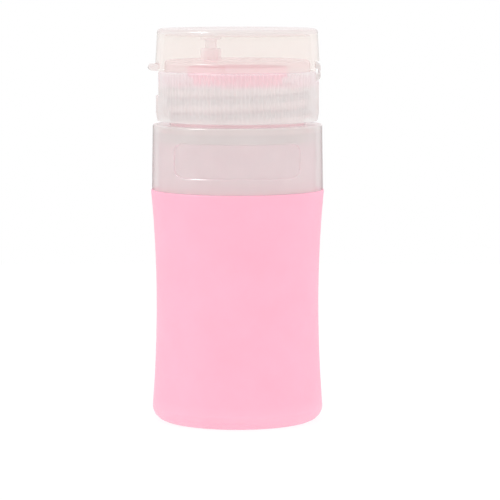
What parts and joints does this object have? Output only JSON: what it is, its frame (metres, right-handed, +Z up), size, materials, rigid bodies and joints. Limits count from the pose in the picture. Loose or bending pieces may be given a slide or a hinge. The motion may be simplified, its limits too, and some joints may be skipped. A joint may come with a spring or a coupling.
{
  "type": "travel silicone bottle",
  "caption": "Waisted soft silicone squeeze bottle with a translucent collar and a ribbed flip-top screw cap over a drip valve, for carrying lotions when travelling.",
  "frame": {"origin": "centre of the base, on the surface that the bottle stands on", "axes": "+Z up along the bottle, +X towards the lid's hinge, -X towards the thumb tab, -Y towards the label panel"},
  "size_m": [0.0372, 0.0366, 0.083],
  "materials": {
    "body_silicone": "soft matte pink silicone",
    "seal_silicone": "smooth pink silicone",
    "natural_silicone": "uncoloured translucent silicone",
    "frosted_plastic": "natural translucent polypropylene, satin",
    "lid_plastic": "natural translucent polypropylene, smooth"
  },
  "bodies": {
    "bottle": {"silicone_body": "body_silicone", "outer_collar": "frosted_plastic", "neck_insert": "frosted_plastic"},
    "gasket": {"neck_gasket": "natural_silicone"},
    "cap": {"screw_cap": "frosted_plastic", "drip_valve": "seal_silicone", "hinge_strap": "frosted_plastic"},
    "lid": {"flip_lid": "lid_plastic"}
  },
  "joints": [
    {"name": "cap_lift", "type": "slide", "parent": "bottle", "child": "gasket", "axis": [0, 0, 1], "range_m": [0, 0.008]},
    {"name": "cap_turn", "type": "hinge", "parent": "gasket", "child": "cap", "pos_m": [0, 0, 0.07], "axis": [0, 0, 1], "range_deg": [0, 900]},
    {"name": "lid_flip", "type": "hinge", "parent": "cap", "child": "lid", "pos_m": [0.01728, 0, 0.0741], "axis": [0, 1, 0], "range_deg": [0, 140], "deforming": ["hinge_strap"]}
  ],
  "couplings": [
    {"joint": "cap_lift", "follows": "cap_turn", "m_per_rad": 0.0005093}
  ]
}
